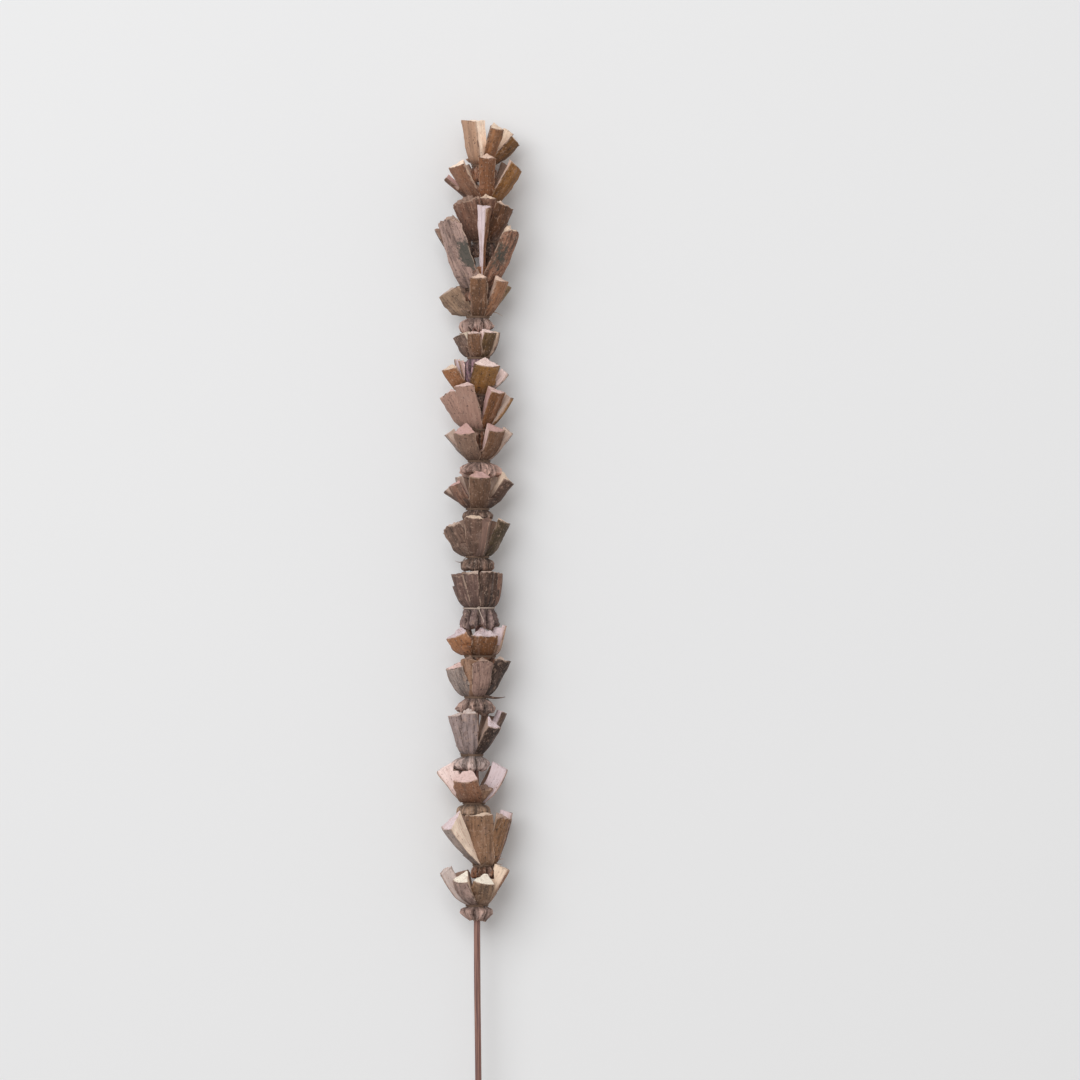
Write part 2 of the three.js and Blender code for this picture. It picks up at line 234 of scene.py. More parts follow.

# Each cup from the tip down: its knob as (radius, height, form, lobe depth, bark), and its petals as
# ((azimuth, reach, rise, width, depth, turn, skew), bark, pith, {what sets this petal apart}). under is
# the reach, rise, width and depth of the two petals beneath, and rests sets their reach by the floor.
# fibres are loose ones, each from one place to another, so thick at its root and of one bark. On a
# petal, moss is its amount, its middle across and along, and its spread both ways; band is a stripe of
# painted shade, given by its middle across, its spread and its strength; shadow darkens the pith towards
# the tie as painted shade; and bold says how strong the bark's streaks are.
CUPS = [
    {"slot": "sola_tan", "knob": (6, 7, "long", 0.12, "brown"), "under": (13, 19, 9, 6), "petals": [
        ((125, 14, 22, 9, 7, 5, 0.6), "oat", "bright",
         {"slope": 0.15, "shoulder": 3.2, "bold": 0.5, "shadow": 0.45}),
        ((65, 18, 17, 7.5, 6), "hazel", "cream", {"shoulder": 0, "tilt": 0.2}),
        ((20, 18, 11.5, 8.5, 6, 20), "bronze", "peach", {"tilt": 0.2}),
        ((-25, 16, 16, 8, 6, -5), "grey", "cream", {"ragged": 0.5}),
     ]},
    {"slot": "sola_tan", "knob": (6, 5, "bun", 0.12, "brown"), "bowl": 9.5, "under": (0, 18, 9, 6),
     "rests": True,
     "petals": [
        ((85, 16, 22.2, 8.4, 7), "chestnut", "peach", {"bold": 0.6, "painted_shade_band": (-4, 2.5, 0.2)}),
        ((143, 20, 17.8, 14, 7, 0, 0.06), "brown", "bright", {"tilt": -0.12, "bold": 0.6, "shadow": 0.3}),
        ((186, 20.5, 12.5, 6, 3.5, -10), "umber", "rose", {}),
        ((35, 20.5, 17.5, 10.5, 8, 8), "amber", "peach", {"tilt": 0.4, "bold": 0.6}),
     ]},
    {"slot": "sola_brown", "knob": (6.4, 6.5, "barrel", 0.08, "deep"), "under": (13, 17, 10, 5),
     "petals": [
        ((122, 18, 19, 15.5, 7, -7), "umber", "dim", {"ragged": 1.6, "rough": 1, "tilt": -0.1}),
        ((82, 15, 20.3, 9, 7), "umber", "cream", {"ragged": 0.6, "top": "cream"}),
        ((46, 16.5, 17, 12, 6, 6), "russet", "peach", {"ragged": 0.5, "tilt": 0.25}),
     ]},
    {"slot": "sola_grey", "knob": (6, 5, "bun", 0.12, "umber"), "shoulder": 0.5, "bowl": 11,
     "under": (0, 32, 10, 6), "rests": True,
     "petals": [
        ((184, 22, 29.5, 4, 4, 5), "sooty", "dim", {"ragged": 0.4}),
        ((139, 21.5, 33.5, 13, 7, -14), "mauve", "shaded",
         {"moss": (1.7, -4.5, 17, 4.2, 9), "ragged": 1.4, "rounded": 2.5, "rough": 1, "base": 1.2,
          "shoulder": 0}),
        ((72, 19.5, 39.5, 7, 7, -54), "chestnut", "lilac", {"base": 0.05, "rough": 0.6}),
        ((36, 21.5, 28.5, 10, 7, 18), "mossy", "cream",
         {"moss": (0.95, 1, 18, 6, 12), "ragged": 0.8, "rough": 1, "rounded": 2.8, "base": 1.2,
          "bold": 1.6}),
     ]},
    {"slot": "sola_brown", "knob": (7.7, 6, "bun", 0.38, "mauve"), "torn": 2.1, "under": (14, 15, 9, 5),
     "fibres": [((6, 2.5, 2), (12.8, 1.2, 3), 0.5, "tan")],
     "petals": [
        ((86, 16, 18.5, 9, 5.3), "hickory", "peach", {}),
        ((170, 15.5, 12, 12.5, 7, -55), "drab", "dusty", {"tilt": 0.1}),
        ((35, 16.5, 17, 8, 7, 12), "warm tan", "peach", {"tilt": -0.1}),
        ((-8, 16.5, 15, 6, 5, 30), "olive", "cream", {}),
     ]},
    {"slot": "sola_dark", "knob": (7, 11.5, "long", 0.25, "purple"), "shoulder": 1.3, "bowl": 6,
     "under": (12, 12, 8, 5), "petals": [
        ((160, 12, 10.5, 9, 6, -18, 0.5), "dark", "ivory", {"base": 1.1}),
        ((102, 11, 11.5, 7.5, 6), "hickory", "shell", {"base": 1.0, "ragged": 0.3}),
        ((58, 12.5, 12, 7.5, 7, 0, -0.3), "bottle", "shell", {"base": 1.0}),
        ((5, 11, 12.5, 6, 5, -15), "dark", "cream", {}),
     ]},
    {"slot": "sola_tan", "knob": (6, 9, "long", 0.15, "deep"), "bowl": 5, "under": (13, 15, 9, 5),
     "petals": [
        ((157, 15, 12.3, 9, 6, -34), "copper", "cream", {"tilt": 0.25, "bold": 0.6}),
        ((150, 10.5, 17, 3, 3, 20), "tan", "pink", {"top": "cream"}),
        ((178, 10.5, 17.5, 3, 3, 30), "tan", "lilac", {"top": "cream"}),
        ((67, 15.5, 13.5, 14, 8, 6), "golden", "shell", {"bold": 0.7, "painted_shade_band": (7, 2.5, 0.55)}),
        ((8, 16.5, 10, 5, 5, -15), "grey", "shell", {}),
     ]},
    {"slot": "sola_tan", "knob": (6.3, 8.5, "long", 0.15, "russet"), "under": (14, 18, 9, 6),
     "petals": [
        ((120, 16.4, 21.3, 11.5, 6, -3), "pinkish", "pink", {"base": 1.05, "bold": 0.35}),
        ((160, 17.5, 17, 11, 6, -28), "pinkish", "pink", {"ragged": 0.4, "base": 1.05, "bold": 0.4}),
        ((50, 16.5, 18, 9, 8, 2, -0.18), "cognac", "rose", {"top": "pink"}),
        ((12, 17.5, 15.5, 6, 5, -10), "golden", "dusty", {}),
     ]},
    {"slot": "sola_brown", "knob": (10, 6, "frill", 0.22, "dusk"), "torn": 1.9, "shoulder": 1.6,
     "bowl": 6, "under": (14, 14, 9, 6), "petals": [
        ((118, 17, 12.7, 12, 9, -3, -0.1), "taupe", "pink", {"top": "rose", "bold": 0.45}),
        ((172, 17.5, 12.5, 8, 6, 8), "grey", "dusty", {}),
        ((50, 16, 14.2, 11, 8, -2, -0.15), "hickory", "pink", {"top": "rose", "bold": 0.5}),
        ((5, 17, 13.5, 8, 6, -18), "grey", "dusty", {}),
     ]},
    {"slot": "sola_tan", "knob": (8, 5, "bun", 0.12, "dark"), "shoulder": 1.1, "bowl": 5.5,
     "under": (14, 15, 9, 5), "petals": [
        ((86, 17, 15, 11, 8), "cocoa", "rose", {"bold": 0.6}),
        ((150, 14.2, 11.7, 8.5, 6, -20), "umber", "rose", {"rough": 1}),
        ((186, 17, 8, 7, 5, -4), "dark", "dusty", {}),
        ((168, 11.5, 15.5, 5, 4, 10), "grey", "dusty", {}),
        ((24, 17.5, 13.5, 6.5, 8, 30, -0.25), "deep", "cream", {}),
        ((-12, 13, 15, 8, 6, -10), "umber", "dusty", {}),
     ]},
    {"slot": "sola_brown", "knob": (8.5, 6, "barrel", 0.08, "dark"), "torn": 0.6, "shoulder": 1.1,
     "bowl": 7, "under": (14, 17, 8, 5), "fibres": [((-6.5, -2, 3), (-11.6, -2.6, 3), 0.9, "grey")],
     "petals": [
        ((98, 14, 19, 9.5, 8), "sable", "dun_shade", {"base": 1.0, "top": "cream", "bold": 0.7}),
        ((152, 15.2, 15, 10.5, 6, -40), "dark", "inky_shade", {"base": 1.05, "ragged": 0.8, "top": "dusty"}),
        ((190, 17, 12, 6, 5, 15), "umber", "dun_shade", {}),
        ((58, 13, 18.5, 8, 7, -62), "dark", "dun_shade", {}),
        ((26, 15.5, 17, 8.5, 6, 20), "peat", "cream", {}),
     ]},
    {"slot": "sola_dark", "waist": THICK_WAIST, "knob": (10.7, 8.5, "flare", 0.34, "plum"),
     "shoulder": 2.2, "torn": 1.4, "bowl": 11, "under": (14, 16, 9, 6), "petals": [
        ((143, 15, 16, 10, 7), "sooty", "dun_shade", {"base": 1.0, "rough": 1, "slope": -0.1, "fluted": 0.8}),
        ((108, 15, 17, 8, 7, 6, 0.2), "sooty", "inky_shade",
         {"base": 1.0, "top": "dusty", "bold": 0.7, "painted_shade_band": (3.6, 2, 0.6)}),
        ((72, 14.5, 17.7, 7.5, 7), "deep", "inky_shade",
         {"base": 1.0, "top": "dusty", "fluted": 0.8, "painted_shade_band": (-3.4, 1.5, 0.5)}),
        ((40, 11.5, 17.5, 7.5, 7), "deep", "dusty", {"base": 1.0, "rough": 1, "fluted": 0.8}),
        ((10, 12, 17, 9, 6), "umber", "dusty", {}),
     ]},
    {"slot": "sola_tan", "waist": THICK_WAIST, "knob": (6.3, 5, "bun", 0.12, "brown"), "shoulder": 2,
     "bowl": 5.5, "under": (15, 12, 9, 6), "petals": [
        ((140, 16.5, 9.5, 12.5, 10, -18), "orange", "lilac", {"base": 1.1, "ragged": 0.7, "bold": 0.7}),
        ((79, 14.5, 9.5, 13.5, 10), "cognac", "lilac",
         {"base": 1.0, "ragged": 0.9, "bold": 0.7, "painted_shade_band": (6.5, 2.5, 0.5)}),
        ((2, 13, 15, 8, 6, -20), "tan", "lilac", {}),
     ]},
    {"slot": "sola_grey", "knob": (8, 6.5, "frill", 0.22, "thistle"), "torn": 1.8, "shoulder": 1.6,
     "bowl": 6.5, "under": (14, 16, 9, 5), "fibres": [((4.2, 0.6, 3.5), (14.8, -0.6, 4), 2.0, "deep")],
     "petals": [
        ((143, 14.5, 14, 11.5, 7, -14), "grey", "pink", {"base": 1.0}),
        ((108, 13.5, 19.3, 9, 5), "sandy", "dim", {"base": 0.7, "rounded": 1.6, "bold": 0.6}),
        ((70, 14.3, 18, 11.5, 5), "old rose", "shaded", {"base": 0.8, "rounded": 2.4, "rough": 0.8}),
        ((24, 16.3, 18, 9.5, 5, 26), "ink", "dusty", {"ragged": 0.6}),
     ]},
    {"slot": "sola_grey", "knob": (9.7, 6.5, "bun", 0.25, "ash"), "torn": 1.4, "bowl": 5,
     "under": (15, 18, 9, 6), "petals": [
        ((132, 14.5, 19.5, 9, 7), "stone", "inky_shade", {"base": 0.85, "rough": 1, "top": "ashy"}),
        ((95, 14.5, 21, 8.4, 7), "stone", "inky_shade", {"base": 0.85, "rough": 1, "top": "ashy"}),
        ((50, 18.5, 13.5, 8, 8, 4), "ink", "shaded", {"top": "lilac", "rough": 0.8}),
        ((-12, 17.5, 20.5, 9, 5, 20), "deep", "lilac", {}),
     ]},
    {"slot": "sola_brown", "knob": (8.7, 5.7, "barrel", 0.06, "drab"), "torn": 0.6, "shoulder": 2.2,
     "bowl": 6.5, "under": (0, 14, 10, 6), "rests": True,
     "petals": [
        ((105, 17, 10.5, 13, 11), "brown", "pink", {"base": 1.15, "bold": 0.6}),
        ((176, 18, 16, 10, 11, 25), "tan", "shell", {"shoulder": 0.5, "shadow": 0.3}),
        ((12, 16.5, 17, 9, 9, -35), "brown", "lilac", {"shoulder": 0}),
        ((58, 12, 6.5, 9, 5), "tan", "dim", {"ragged": 1}),
     ]},
    {"slot": "sola_tan", "knob": (7, 5.5, "bun", 0.2, "red umber"), "bowl": 5, "under": (0, 22, 9, 6),
     "rests": True,
     "fibres": [
        ((4.6, 1.2, 3), (10.4, 3.8, 4), 0.5, "orange"),
        ((4.6, 1.4, 3), (8.2, 5.4, 5), 0.45, "orange"),
        ((4.6, 1.0, 3), (9.6, 1.2, 3), 0.45, "orange"),
     ],
     "petals": [
        ((101, 14, 25, 14.5, 8, 0, 0.1), "fawn", "cream", {"bold": 0.6, "painted_shade_band": (7, 3, 0.3)}),
        ((142, 25, 18, 10, 12.5, 8), "grey", "bright", {"top": "lilac", "shoulder": 0.3, "shadow": 0}),
        ((45, 15.5, 23.5, 10, 7, 5), "honey", "cream",
         {"top": "shaded", "tilt": 0.15, "ragged": 0.6, "painted_shade_band": (5, 2.5, 0.5)}),
        ((-10, 14, 26, 8, 6, -15), "umber", "lilac", {}),
     ]},
    {"slot": "sola_brown", "knob": (8.7, 6, "lens", 0.3, "mauve"), "torn": 1.5, "shoulder": 1.5,
     "bowl": 6, "under": (14, 15, 9, 6), "petals": [
        ((123, 16.5, 11.5, 9.5, 9, 4, -0.05), "mauve", "bright", {"top": "frost", "base": 1.05}),
        ((78, 15.7, 11, 11, 9.5, 14), "wheat", "cream", {"top": "frost", "base": 1.05}),
        ((165, 18.5, 16.5, 9, 7, 35), "grey", "ashy", {"rough": 0.8}),
        ((15, 16.5, 17.5, 9, 8, -22), "warm tan", "cream", {}),
     ]},
]


# Selecting, cutting and shaping


def placed(name, data, place=(0, 0, 0)):
    """A new object in the scene."""
    made = bpy.data.objects.new(name, data)
    made.location = place
    bpy.context.scene.collection.objects.link(made)
    return made


def only(piece):
    """Makes this the one selected piece."""
    bpy.ops.object.select_all(action="DESELECT")
    piece.select_set(True)
    bpy.context.view_layer.objects.active = piece


@contextmanager
def editing(piece, kind="vertices", chosen=None):
    """Edit mode on one piece, with all of it selected, or only its chosen edges or polygons."""
    only(piece)
    bpy.ops.object.mode_set(mode="EDIT")
    bpy.context.tool_settings.mesh_select_mode = [kind == k for k in ("vertices", "edges", "polygons")]
    bpy.ops.mesh.select_all(action="SELECT" if chosen is None else "DESELECT")
    if chosen is not None:
        bpy.ops.object.mode_set(mode="OBJECT")
        getattr(piece.data, kind).foreach_set("select", chosen)
        bpy.ops.object.mode_set(mode="EDIT")
    yield
    bpy.ops.object.mode_set(mode="OBJECT")


def corners(piece):
    """Where a mesh's vertices are, one row each."""
    flat = np.empty(len(piece.data.vertices) * 3)
    piece.data.vertices.foreach_get("co", flat)
    return flat.reshape(-1, 3)


def move_corners(piece, places):
    piece.data.vertices.foreach_set("co", np.asarray(places, float).ravel())
    piece.data.update()


def normals(piece):
    flat = np.empty(len(piece.data.vertices) * 3, np.float32)
    piece.data.vertex_normals.foreach_get("vector", flat)
    return flat.reshape(-1, 3).astype(float)


def cut_lengthwise(piece, axis, cuts, aim=0.9):
    """Cuts every edge that runs along one axis into equal lengths."""
    places = corners(piece)
    ends = np.empty(len(piece.data.edges) * 2, int)
    piece.data.edges.foreach_get("vertices", ends)
    run = np.abs(places[ends[1::2]] - places[ends[0::2]])
    with editing(piece, "edges", run[:, axis] > aim * run.sum(axis=1)):
        bpy.ops.mesh.subdivide(number_cuts=cuts)


def round_blank(sides, cuts):
    """An upright round bar, one unit in radius and in length, cut across along its length."""
    bpy.ops.object.select_all(action="DESELECT")
    bpy.ops.mesh.primitive_cylinder_add(vertices=sides, radius=1, depth=1, location=(0, 0, 0.5))
    piece = bpy.context.object
    bpy.ops.object.transform_apply(location=True, rotation=True, scale=True)
    cut_lengthwise(piece, 2, cuts)
    return piece


def inset_ends(piece, insets):
    """Insets the two flat ends of an upright piece, each time by a share of its radius."""
    with editing(piece, "polygons", [abs(f.normal.z) > 0.9 for f in piece.data.polygons]):
        for thickness in insets:
            bpy.ops.mesh.inset(thickness=thickness, use_individual=True)


def face_out(piece):
    """Turns every face outwards."""
    with editing(piece):
        bpy.ops.mesh.normals_make_consistent(inside=False)


def rough_field(places, seed):
    """Smooth noise between about -1 and 1 at each place."""
    shift = Vector((seed * 17.3, seed * 5.1, seed * 9.7))
    return np.array([noise.fractal(Vector(p) + shift, 1.0, 2.0, 3) for p in places])


def along_line(table, shares):
    """Reads a table of (share, value) at each share, with smooth joins."""
    xs, ys = np.array(table, float).T
    at = np.clip(np.searchsorted(xs, shares, side="right") - 1, 0, len(xs) - 2)
    span = xs[at + 1] - xs[at]
    t = np.clip((shares - xs[at]) / span, 0, 1)
    slopes = np.gradient(ys, xs)
    h = t * t * (3 - 2 * t)
    bend = (t * (1 - t) ** 2 * slopes[at] - t * t * (1 - t) * slopes[at + 1]) * span
    return ys[at] * (1 - h) + ys[at + 1] * h + bend


def note(piece, name, kind, values):
    """Keeps a value for each face corner, for the materials to read."""
    kept = piece.data.attributes.new(name, kind, "CORNER")
    field = "color" if kind == "FLOAT_COLOR" else "vector"
    kept.data.foreach_set(field, np.asarray(values, np.float32).ravel())


def face_corners(piece):
    """The vertex at each face corner, and the face that the corner belongs to."""
    mesh = piece.data
    vertex = np.empty(len(mesh.loops), int)
    mesh.loops.foreach_get("vertex_index", vertex)
    count = np.empty(len(mesh.polygons), int)
    mesh.polygons.foreach_get("loop_total", count)
    return vertex, np.repeat(np.arange(len(mesh.polygons)), count)


def linear(tone):
    """A tone out of 255 as the light it reflects."""
    share = np.array(tone, float) / 255
    return np.where(share <= 0.04045, share / 12.92, ((share + 0.055) / 1.055) ** 2.4)


def note_tones(piece, grain, wear, bark, pith, bold=1.0):
    """Keeps what the sola material reads at each face corner: the grain's own millimetres, the wear
    (the distance to the bark's edge, what is a cut end, and moss, or -1 on a knob) and two tones.
    The bark tone's fourth number says how bold its streaks are."""
    rows = np.ones((len(grain), 1))
    note(piece, "grain", "FLOAT_VECTOR", grain)
    note(piece, "wear", "FLOAT_VECTOR", rows * wear)
    for name, tones, fourth in (("bark", bark, bold), ("pith", pith, 1.0)):
        note(piece, name, "FLOAT_COLOR", np.hstack([rows * tones, rows * fourth]))


def note_inside(piece):
    """Marks a solid for cutting away, so that the hole it leaves shows plain pith."""
    vertex, _ = face_corners(piece)
    grain = corners(piece)[vertex]
    grain[:, 1] = DEEP_INSIDE
    note_tones(piece, grain, (NO_EDGE, 0, 0), linear(BARKS["umber"]), linear(PITHS["dusty"]))


def merge(body, part, how):
    """Joins a solid part to the body, or cuts it away, and leaves one closed skin."""
    only(body)
    change = body.modifiers.new(how, "BOOLEAN")
    change.operation = how
    change.solver = "MANIFOLD"
    change.object = part
    bpy.ops.object.modifier_apply(modifier=change.name)
    bpy.data.objects.remove(part)


def drop_specks(piece):
    """Takes out the pairs of faces that lie back to back on the same corners after a merge."""
    mesh = bmesh.new()
    mesh.from_mesh(piece.data)
    found = {}
    for face in mesh.faces:
        found.setdefault(frozenset(face.verts), []).append(face)
    twins = [face for faces in found.values() if len(faces) > 1 for face in faces]
    bmesh.ops.delete(mesh, geom=twins, context="FACES")
    mesh.to_mesh(piece.data)
    mesh.free()


# Petals


def petal_blank():
    """The block that every petal is shaped from: -1 to 1 across, 0 to 1 inwards, 0 to 1 upwards."""
    bpy.ops.object.select_all(action="DESELECT")
    bpy.ops.mesh.primitive_cube_add(size=1, location=(0, 0.5, 0.5))
    blank = bpy.context.object
    bpy.ops.transform.resize(value=(2, 1, 1))
    bpy.ops.object.transform_apply(location=True, rotation=True, scale=True)
    for axis, faces in enumerate((PETAL_ACROSS, PETAL_DEEP, PETAL_LONG)):
        cut_lengthwise(blank, axis, faces - 1)
    return blank


def petal_places(unit, section, petal, waist, shoulder, base=BASE_WIDTH, bow=0.0):
    """Where the points of a petal's section go, from its base at the tie to its cut top."""
    azimuth, reach, rise, _, depth, turn = petal[:6]
    up = unit[:, 2]
    away = np.array([math.cos(math.radians(azimuth)), 0, math.sin(math.radians(azimuth))])
    face = math.radians(azimuth + turn)
    facing = np.array([math.cos(face), 0, math.sin(face)])
    lean = math.atan2(reach - waist - shoulder, rise - PETAL_START)
    tipped = lean * np.minimum(1, up / LEAN_LENGTH)
    axis = np.sin(tipped)[:, None] * away + np.cos(tipped)[:, None] * np.array([0, 1, 0])
    out = facing - (axis @ facing)[:, None] * axis
    out /= np.linalg.norm(out, axis=1)[:, None]
    across = np.cross(out, axis)
    climb = (rise - PETAL_START) * up
    pressed = np.exp(-climb / SQUEEZE)
    places = path_out(petal, waist, shoulder, PETAL_START + climb)[:, None] * away
    places[:, 1] += PETAL_START + climb
    widths = (base + (1 - base) * up) * (1 - SQUEEZED_WIDTH * pressed)
    base_depth = min(1.2, 0.92 * waist / depth) * min(1, 2 * base)
    depths = base_depth + (1 - base_depth) * up
    places += across * (section[:, 0] * widths)[:, None]
    places += out * (section[:, 1] * depths)[:, None]
    places += out * (bow * np.sin(math.pi * up))[:, None]
    places += axis * section[:, 2][:, None]
    return places


def path_out(petal, waist, shoulder, level):
    """How far out a petal's bark is at each height above the tie."""
    _, reach, rise = petal[:3]
    climb = np.clip(level - PETAL_START, 0, rise - PETAL_START)
    start = waist + shoulder
    spread = 1 - (1 - climb / (rise - PETAL_START)) ** BOWL
    return start + (reach - start) * spread - shoulder * np.exp(-climb / SQUEEZE)


def wedge_section(unit, width, depth, skew):
    """The wedge's own millimetres: across, outwards and lengthwise."""
    x, d = unit[:, 0], unit[:, 1]
    bark = -BARK_BULGE * width * x * x
    across = x * width / 2 * (1 - d) + (x * RIDGE_WIDTH * width / 2 - skew * width) * d
    return np.stack([across, bark * (1 - d) - depth * d, np.zeros(len(x))], axis=1)


def depth_below(petal, waist, shoulder):
    """How far under the cup's axis a petal reaches."""
    edge = np.array([[x, d, 1.0] for x in (-1, 0, 1) for d in (0, 1)])
    section = wedge_section(edge, petal[3], petal[4], 0)
    return -petal_places(edge, section, petal, waist, shoulder)[:, 2].min()


def under_petals(cup, waist):
    """The two petals beneath a cup. Where they carry the stem, their reach is found by halving."""
    reach, rise, width, depth = cup["under"]
    if cup.get("rests"):
        low, high = waist, 2 * REST_DEPTH
        for _ in range(HALVINGS):
            reach = (low + high) / 2
            trial = (UNDER_AZIMUTHS[0], reach, rise, width, depth, 0)
            if depth_below(trial, waist, cup.get("shoulder", SHOULDER)) > REST_DEPTH:
                high = reach
            else:
                low = reach
    # Their pith is the dim one: painted shade for the shade beneath the cup.
    return [
        ((azimuth, reach, rise, width, depth), cup["petals"][0][1], "dim", {"top": "dusty"})
        for azimuth in UNDER_AZIMUTHS
    ]


def make_petal(blank, entry, waist, shoulder, seed):
    """One split petal, with its torn faces, its cut top and its bark's small ridges."""
    shape, bark, pith, extra = entry
    petal = tuple(shape) + (0,) * (7 - len(shape))
    _, reach, rise, width, depth, _, skew = petal
    length = math.hypot(reach - waist, rise)
    piece = placed("petal", blank.data.copy())
    unit = corners(piece)
    unit[:, 0] *= 1.25 - 0.25 * unit[:, 0] ** 2
    section = wedge_section(unit, width, depth, skew)
    x, d, up = unit.T
    chips = rough_field(np.stack([np.sign(x) * 5, d * 0.8, up * length * 0.17], axis=1), seed + 20)
    section[:, 0] *= 1 + CHIPS * chips * np.abs(x)
    ragged = 0.3 + extra.get("ragged", 0)
    rim = np.clip((up - 0.8) / 0.2, 0, 1)
    flat = np.stack([section[:, 0], section[:, 1], x * 0], axis=1)
    edge = rough_field(flat * 0.35, seed) + 0.45 * rough_field(flat * 1.3, seed + 60)
    slope = extra.get("slope", 0.07 * math.sin(seed * 2.3)) * section[:, 1]
    tilt = extra.get("tilt", 0.07 * math.sin(seed * 1.7)) * section[:, 0]
    worn_corners = -extra.get("rounded", 0.3) * np.abs(x) ** 3 * (1 - 0.6 * d)
    lip = 0.14 * (1 - np.minimum(1, d * depth / 0.5))
    section[:, 2] = rim * (ragged * edge + slope + tilt + worn_corners + lip)
    bow = 0.5 * math.sin(seed * 3.1)
    base = extra.get("base", BASE_WIDTH)
    places = petal_places(unit, section, petal, waist, extra.get("shoulder", shoulder), base, bow)
    move_corners(piece, places)
    grain = np.stack([section[:, 0], d * depth, up * length], axis=1)
    fibres = rough_field(grain * (0.55, 0.55, 0.05), seed + 40)
    lumps = rough_field(grain * (0.13, 0.13, 0.07), seed + 80)
    rough = 1 + 0.8 * extra.get("rough", 0)
    ridges = (0.2 + 0.12 * np.minimum(1, d * 4)) * fibres + 0.34 * lumps
    flutes = extra.get("fluted", 0) * np.sin(section[:, 0] * 2.1 + seed + lumps) * (1 - d)
    places += normals(piece) * ((rough * ridges + 0.3 * flutes) * np.minimum(1, up * 5))[:, None]
    places[:, 2] = np.maximum(places[:, 2], -REST_DEPTH)
    move_corners(piece, places)
    vertex, face = face_corners(piece)
    tops = np.array([len({round(unit[v, 2], 5) for v in f.vertices}) == 1 for f in piece.data.polygons])
    cut = tops[face].astype(float)
    sides = np.minimum((1 - np.abs(x)) * width / 2, (1 - up) * length)
    amount, across, along, wide, long = extra.get("moss", (0, 0, 0, 1, 1))
    moss = amount * np.exp(-(((grain[:, 0] - across) / wide) ** 2) - ((grain[:, 2] - along) / long) ** 2)
    wear = np.stack([sides[vertex], cut, moss[vertex]], axis=1)
    # Painted shade: the band darkens a stripe of the bark, and the flutes' grooves are darker.
    place, wide, dark = extra.get("painted_shade_band", (0, 1, 0))
    painted_shade_band = 1 - dark * np.exp(-(((section[:, 0] - place) / wide) ** 2))
    # Darker towards the tie: partly dust, partly painted shade.
    dusty = (painted_shade_band * (1 - 0.5 * np.exp(-up * rise / 3.5)) * (1 + 0.42 * flutes))[vertex, None]
    inner = (1 - extra.get("shadow", SHADOW) * np.exp(-up * rise / SHADOW_HEIGHT))[vertex, None]
    piths = np.where(cut[:, None] > 0, linear(PITHS[extra.get("top", pith)]), linear(PITHS[pith]))
    shifted = grain + (seed * 31.7, 0, seed * 47.9)
    bold = extra.get("bold", 1.0)
    note_tones(piece, shifted[vertex], wear, linear(BARKS[bark]) * dusty, piths * inner, bold)
    return piece


# Knob, waist and neck


